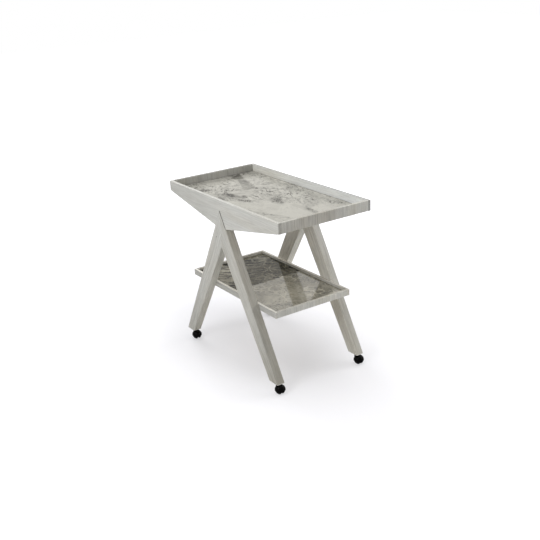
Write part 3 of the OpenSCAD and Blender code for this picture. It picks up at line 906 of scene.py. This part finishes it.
def crisp(shape, degrees=32.0):
    """Smooth faces that meet in a sharp line where they bend by more than an angle."""
    tree = shape.tree
    soft = out(tree, "GeometryNodeSetShadeSmooth", {"Geometry": shape, "Shade Smooth": True})
    bend = out(tree, "GeometryNodeInputMeshEdgeAngle")
    sharp = out(tree, "FunctionNodeCompare", {0: bend, 1: math.radians(degrees)})
    wires = {"Geometry": soft, "Selection": sharp, "Shade Smooth": False}
    return out(tree, "GeometryNodeSetShadeSmooth", wires, domain="EDGE")


def close_tree(given, shape):
    """Turns instances into one plain mesh of the given material, and ends the tree."""
    real = out(shape.tree, "GeometryNodeRealizeInstances", {"Geometry": shape})
    wires = {"Geometry": real, "Material": given["Material"]}
    return close_group(shape.tree, Geometry=out(shape.tree, "GeometryNodeSetMaterial", wires))


def one_on_each(given, shape):
    """Puts the shape on every given point, turned to the point's own axis."""
    tree = shape.tree
    axis = out(tree, "GeometryNodeInputNamedAttribute", {"Name": "axis"}, data_type="FLOAT_VECTOR")
    turn = out(tree, "FunctionNodeAlignRotationToVector", {"Vector": axis}, axis="Z")
    wires = {"Points": given["Geometry"], "Instance": shape, "Rotation": turn}
    return close_tree(given, out(tree, "GeometryNodeInstanceOnPoints", wires))


print("tree helpers ready")

# %% Helpers that run a tree and hand over the result
def grown(name, tree, mesh, material, **sizes):
    """Runs a tree on a mesh and returns what it makes as a plain mesh."""
    seed = bpy.data.objects.new(name + " seed", mesh)
    bpy.context.scene.collection.objects.link(seed)
    modifier = seed.modifiers.new("rule", "NODES")
    modifier.node_group = tree
    sockets = {item.name: item.identifier for item in tree.interface.items_tree
               if item.in_out == "INPUT"}
    modifier[sockets["Material"]] = material
    for label, value in sizes.items():
        modifier[sockets[title(label)]] = value
    seen = seed.evaluated_get(bpy.context.evaluated_depsgraph_get())
    made = bpy.data.meshes.new_from_object(seen)
    bpy.data.objects.remove(seed)
    made.name = name
    return made


def points_with_axes(name, places):
    """A mesh of loose points that carry an axis each."""
    mesh = bpy.data.meshes.new(name)
    mesh.from_pydata([tuple(place) for place, _ in places], [], [])
    axes = mesh.attributes.new("axis", "FLOAT_VECTOR", "POINT")
    axes.data.foreach_set("vector", np.array([axis for _, axis in places], dtype=float).ravel())
    return mesh


def piece(name, meshes, material, body, slot, node):
    """Joins meshes into one closed piece with outward faces that stands for a solid."""
    whole = bmesh.new()
    for mesh in meshes:
        whole.from_mesh(mesh)
    if whole.calc_volume(signed=True) < 0:
        bmesh.ops.reverse_faces(whole, faces=whole.faces)
    open_edges = sum(1 for edge in whole.edges if not edge.is_manifold)
    mesh = bpy.data.meshes.new(name)
    whole.to_mesh(mesh)
    whole.free()
    mesh.materials.append(material)
    made = bpy.data.objects.new(name, mesh)
    bpy.context.scene.collection.objects.link(made)
    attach(made, body)
    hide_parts(node)
    print(name, len(mesh.polygons), "faces,", open_edges, "open edges")


print("piece helpers ready")

# %% [markdown]
# ## Wood screws
# A countersunk wood screw has a flat head with a cross recess, a plain neck, a
# thread on the lower part of its shank and a point. The thread is a ridge where the
# height along the screw, counted in pitches, agrees with the angle round it. The
# recess is cut by two crossed bars.

# %% Screw tree
def screw_tree():
    tree, given = geometry_tree("wood screw", length=0.034, head=0.0056, shank=0.004,
                                pitch=0.0022, thread=0.00045, around=20, rows=150)
    grid, turn, way = unit_grid(given["Around"] + 1, given["Rows"])
    head, shank = given["Head"] * 0.5, given["Shank"] * 0.5
    # The way runs from the middle of the head over its rim and down to the point.
    rim, neck, first_thread, full_thread, tip = 0.03, 0.08, 0.36, 0.4, 0.93
    head_height = head - shank
    height = (span(way, rim, neck, 0.0, head_height)
              + span(way, neck, 1.0, 0.0, given["Length"] - head_height))
    outline = smaller(span(way, 0.0, rim, 0.0, head),
                      span(way, rim, neck, head, shank - given["Thread"]))
    off_ridge = abs(calc("FRACT", height / given["Pitch"] - turn) - 0.5)
    ridge = span(off_ridge, 0.0, 0.3, 1.0, 0.0) * given["Thread"]
    ridge = ridge * span(way, first_thread, full_thread)
    radius = (outline + ridge) * span(way, tip, 1.0, 1.0, 0.0)
    shape = rolled(grid, turn, radius, height * -1.0)
    cut = put(tree, "GeometryNodeMeshBoolean", {"Mesh 1": shape}, operation="DIFFERENCE",
              solver="EXACT")
    long_side, short_side = head * 1.15, head * 0.3
    for wide, deep in ((long_side, short_side), (short_side, long_side)):
        bar = out(tree, "GeometryNodeMeshCube", {"Size": combine(wide, deep, head * 1.1)})
        feed(cut, {"Mesh 2": bar})
    return one_on_each(given, crisp(Wire(cut.outputs[0])))


wood_screw = screw_tree()

# %% [markdown]
# ## Fluted dowels
# A joiner's dowel has fine flutes, so that glue and air get out of the hole, and a
# small chamfer at each end. The flutes take a little off the radius at even angles.

# %% Dowel tree
def dowel_tree():
    _, given = geometry_tree("fluted dowel", length=0.036, diameter=0.008, flutes=16,
                             flute_depth=0.0004, around=96)
    # Six rows: a pole, the end's rim and the chamfer's foot at each end.
    grid, turn, way = unit_grid(given["Around"] + 1, 6)
    from_middle = abs(way - 0.5)
    half, chamfer = given["Diameter"] * 0.5, given["Diameter"] * 0.1
    outline = smaller(span(from_middle, 0.3, 0.5, 1.0, 0.0) * half * 2.0, half)
    at_rim = calc("COMPARE", from_middle, 0.3, 0.01)
    outline = calc("MULTIPLY_ADD", at_rim, chamfer * -1.0, outline)
    wave = calc("COSINE", turn * math.tau * given["Flutes"])
    flute = span(wave, 0.2, 1.0) * given["Flute Depth"] * calc("LESS_THAN", from_middle, 0.45)
    reach = given["Length"] * 0.5 - calc("LESS_THAN", from_middle, 0.2) * chamfer
    height = calc("SIGN", way - 0.5) * reach
    return one_on_each(given, crisp(rolled(grid, turn, outline - flute, height)))


fluted_dowel = dowel_tree()

# %% [markdown]
# ## Caster wheels
# Each wheel is a slice of a ball. Its tread runs on the floor under the hood, its
# outer face is a shallow dome round the axle's head, and its inner face is a cup
# with ribs, as a moulded wheel has so that its wall cools evenly. The outline below
# goes once round the wheel's section, from the bore outwards, and the tree rolls it
# up round the axle and sets the ribs in the cup.

# %% Wheel tree
def wheel_tree():
    tree, given = geometry_tree(
        "caster wheel", points=24, around=96, ribs=8, rib_inside=0.005, rib_outside=0.0155,
        rib_thickness=0.001, rib_low=0.0054, rib_high=0.0098)
    grid, turn, way = unit_grid(given["Around"] + 1, given["Points"] + 1)
    row = calc("MODULO", calc("ROUND", way * given["Points"]), given["Points"])
    position = out(tree, "GeometryNodeInputPosition")
    wires = {"Geometry": given["Geometry"], "Index": row, "Value": position}
    section = out(tree, "GeometryNodeSampleIndex", wires, data_type="FLOAT_VECTOR")
    radius, _, height = parts_of(section)
    skin = crisp(rolled(grid, turn, radius, height), 24.0)
    inside, outside = given["Rib Inside"], given["Rib Outside"]
    low, high = given["Rib Low"], given["Rib High"]
    size = combine(outside - inside, given["Rib Thickness"], high - low)
    rib = out(tree, "GeometryNodeMeshCube", {"Size": size})
    wires = {"Vertices": given["Ribs"], "Radius": (inside + outside) * 0.5}
    ring = out(tree, "GeometryNodeMeshCircle", wires)
    facing = out(tree, "FunctionNodeAlignRotationToVector", {"Vector": position}, axis="X")
    wires = {"Points": ring, "Instance": rib, "Rotation": facing}
    ribs = out(tree, "GeometryNodeInstanceOnPoints", wires)
    lift = combine(0.0, 0.0, (low + high) * 0.5)
    ribs = out(tree, "GeometryNodeTransform", {"Geometry": ribs, "Translation": lift})
    both = put(tree, "GeometryNodeJoinGeometry")
    for shape in (skin, ribs):
        feed(both, {0: shape})
    return close_tree(given, Wire(both.outputs[0]))


caster_wheel = wheel_tree()

# %% Screws and dowels in place
FASTENERS = {
    # node: tree, material, slot, sizes in metres
    "lower_tray_screws": (wood_screw, zinc, "zinc_steel", {"head": 0.0056}),
    "corner_block_screws": (wood_screw, zinc, "zinc_steel", {"head": 0.0076}),
    "head_dowels": (fluted_dowel, beech, "dowel_wood", {"diameter": 0.008, "flutes": 16}),
}
for node in ("wing_dowels", "upper_corner_dowels", "lower_corner_dowels"):
    FASTENERS[node] = (fluted_dowel, beech, "dowel_wood", {"diameter": 0.006, "flutes": 12})

for node, (tree, material, slot, sizes) in FASTENERS.items():
    by_length = {}
    for centre, axis, length in shells(node):
        start = centre + axis * length / 2 if tree is wood_screw else centre
        by_length.setdefault(round(length, 5), []).append((start, axis))
    meshes = [grown(node, tree, points_with_axes(node, places), material, length=length, **sizes)
              for length, places in by_length.items()]
    piece(title(node).replace(" ", "") + "Fine", meshes, material, "frame", slot, node)

# %% Wheels in place
def wheel_outline():
    """The wheel's section, as distances from the axle's line and from the hood's middle."""
    inner, outer, seat = 0.0054, 0.0180, 0.0164
    bore, hub, cup, tread, ball = 0.00255, 0.00555, 0.015, 0.019, 0.0208
    cup_floor = inner + 0.0042
    soft = 0.0004
    points = [(bore, inner), (hub - soft, inner), (hub, inner + soft), (hub, cup_floor),
              (cup, cup_floor), (cup, inner + soft), (cup + soft, inner), (tread - soft, inner),
              (tread, inner + soft)]
    start = math.asin(tread / ball)
    stop = math.atan2(math.sqrt(ball**2 - outer**2), outer)
    steps = 14
    for step in range(steps + 1):
        angle = start + (stop - start) * step / steps
        points.append((ball * math.sin(angle), ball * math.cos(angle)))
    seat_radius = 0.0041
    rim = points[-1][0]
    # A shallow ring groove on the outer face hides the mark of the mould's gate.
    for share, depth in ((0.82, 0.0), (0.76, 0.0005), (0.64, 0.0005), (0.58, 0.0)):
        points.append((seat_radius + (rim - seat_radius) * share, outer - depth))
    points += [(seat_radius + soft, outer), (seat_radius, outer - soft), (seat_radius, seat),
               (bore, seat)]
    return points


outline = wheel_outline()
section_mesh = bpy.data.meshes.new("wheel section")
section_mesh.from_pydata([(radius, 0.0, height) for radius, height in outline], [], [])
wheel_mesh = grown("wheel shape", caster_wheel, section_mesh, wheel_nylon, points=len(outline))

for node in solids:
    if not node.endswith("_wheel"):
        continue
    corner = node.rsplit("_", 2)[0]
    axle_low, axle_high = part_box(corner + "_axle")
    axle_middle = Vector((axle_low + axle_high) / 2)
    wheel_low, wheel_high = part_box(node)
    outwards = math.copysign(1.0, (wheel_low + wheel_high)[1] / 2 - axle_middle.y)
    turned = wheel_mesh.copy()
    # The tree's Z becomes this wheel's own outward direction along Y.
    turn = Quaternion((1, 0, 0), -math.pi / 2 * outwards).to_matrix().to_4x4()
    turn.translation = axle_middle
    turned.transform(turn)
    piece(node.title().replace("_", "") + "Fine", [turned], wheel_nylon, node, "black_wheel", node)

# %% [markdown]
# ## Floor, backdrop and lamps
# The trolley stands in an empty white studio. A real white floor that fills a
# picture also throws a lot of light back up, more than the photograph shows under
# the legs. So the trolley gets the light of a pale grey sheet, while the camera and
# mirrors see a darker sheet with a glow of its own. The glow is weakest in an oval
# under the trolley, which is a painted shadow, and the lamps' shadow falls on top of
# it. From below the sheet is clear, so that the undersides can be looked at.
#
# The world is white where it is seen, dimmer and warmer in mirrors, so that polished
# stone keeps its colour, and gives only a tenth of that as light.
#
# The main light is a very wide sky lamp overhead, which gives the floor its soft
# shadow. Large soft boxes stand at the front, at the left and at the back, and a
# small warm one at the back right fills the edges of the legs that face right.

# %% Floor and world
# The oval of painted shadow on the floor.
PAINTED_SHADOW_CENTRE, PAINTED_SHADOW_OVAL = (-0.11, 0.02, 0), (0.76, 0.45)


def seen_directly(tree):
    """1 for rays from the camera, or seen in a mirror or through glass."""
    path = wires_from(put(tree, "ShaderNodeLightPath"))
    return larger(larger(path["Is Camera Ray"], path["Is Glossy Ray"]), path["Is Transmission Ray"])


def mixed_shaders(share, first, second):
    wires = {0: share, 1: Wire(first.outputs[0]), 2: Wire(second.outputs[0])}
    return put(share.tree, "ShaderNodeMixShader", wires)


def floor_sheet(half, seen_colour, dull_colour):
    mesh = bpy.data.meshes.new("floor")
    mesh.from_pydata([(-half, -half, 0), (half, -half, 0), (half, half, 0), (-half, half, 0)], [],
                     [(0, 1, 2, 3)])
    made, shader, place, _ = new_material("floor")
    tree = made.node_tree
    seen = seen_directly(tree)
    long_half, wide_half = PAINTED_SHADOW_OVAL
    away = calc("LENGTH", (place - PAINTED_SHADOW_CENTRE) * (1 / long_half, 1 / wide_half, 0))
    # Painted shadow: the glow is weakest in the oval under the trolley.
    glow_with_painted_shadow = remap(away, 0.1, 1.25, 0.365, 0.68) + remap(away, 1.2, 5.0, 0.0, 0.4)
    feed(shader, {"Base Color": mix(seen, dull_colour, seen_colour), "Roughness": 0.9,
                  "Specular IOR Level": 0.0, "Emission Color": (0.985, 0.985, 1.0, 1),
                  "Emission Strength": seen * glow_with_painted_shadow})
    below = wires_from(put(tree, "ShaderNodeNewGeometry"))["Backfacing"]
    both = mixed_shaders(below, shader, put(tree, "ShaderNodeBsdfTransparent"))
    feed(tree.nodes["Material Output"], {"Surface": Wire(both.outputs[0])})
    mesh.materials.append(made)
    sheet = bpy.data.objects.new("floor", mesh)
    bpy.context.scene.collection.objects.link(sheet)


def studio_world(strength):
    world = bpy.data.worlds.new("studio")
    bpy.context.scene.world = world
    world.use_nodes = True
    tree = world.node_tree
    tree.nodes.clear()
    light, seen, mirrored = (
        put(tree, "ShaderNodeBackground", {0: colour, 1: power})
        for colour, power in (((1.0, 0.99, 0.97, 1), strength), ((1, 1, 1, 1), 1.0),
                              ((1.0, 0.98, 0.94, 1), 0.9)))
    in_mirror = wires_from(put(tree, "ShaderNodeLightPath"))["Is Glossy Ray"]
    shown = mixed_shaders(in_mirror, seen, mirrored)
    both = mixed_shaders(seen_directly(tree), light, shown)
    put(tree, "ShaderNodeOutputWorld", {0: Wire(both.outputs[0])})


floor_sheet(14.0, (0.4, 0.4, 0.42, 1), (0.68, 0.68, 0.68, 1))
studio_world(0.1)
print("floor and world ready")

# %% Lamps
TROLLEY_MIDDLE = (0, 0, 0.5)


def add_lamp(kind, name, place, power, **settings):
    """A lamp that looks at the middle of the trolley."""
    lamp = bpy.data.lights.new(name, kind)
    lamp.energy = power
    for label, value in settings.items():
        setattr(lamp, label, value)
    made = bpy.data.objects.new(name, lamp)
    bpy.context.scene.collection.objects.link(made)
    made.location = place
    made.rotation_mode = "QUATERNION"
    direction = Vector(TROLLEY_MIDDLE) - Vector(place)
    made.rotation_quaternion = direction.to_track_quat("-Z", "Y")
    made.visible_camera = False


def soft_box(name, place, size, power, colour=(1, 1, 1)):
    add_lamp("AREA", name, place, power, shape="SQUARE", size=size, color=colour)


add_lamp("SUN", "sky lamp", (0, 0, 3), 1.0, angle=math.radians(70))
soft_box("front box", (0.65, -2.7, 1.9), 1.6, 41)
soft_box("left box", (-2.6, 0.2, 2.0), 1.6, 40)
soft_box("back box", (0.3, 2.6, 2.0), 1.6, 34)
soft_box("back right box", (1.7, 1.7, 1.0), 1.0, 9, (1.0, 0.97, 0.92))
print("lamps ready")
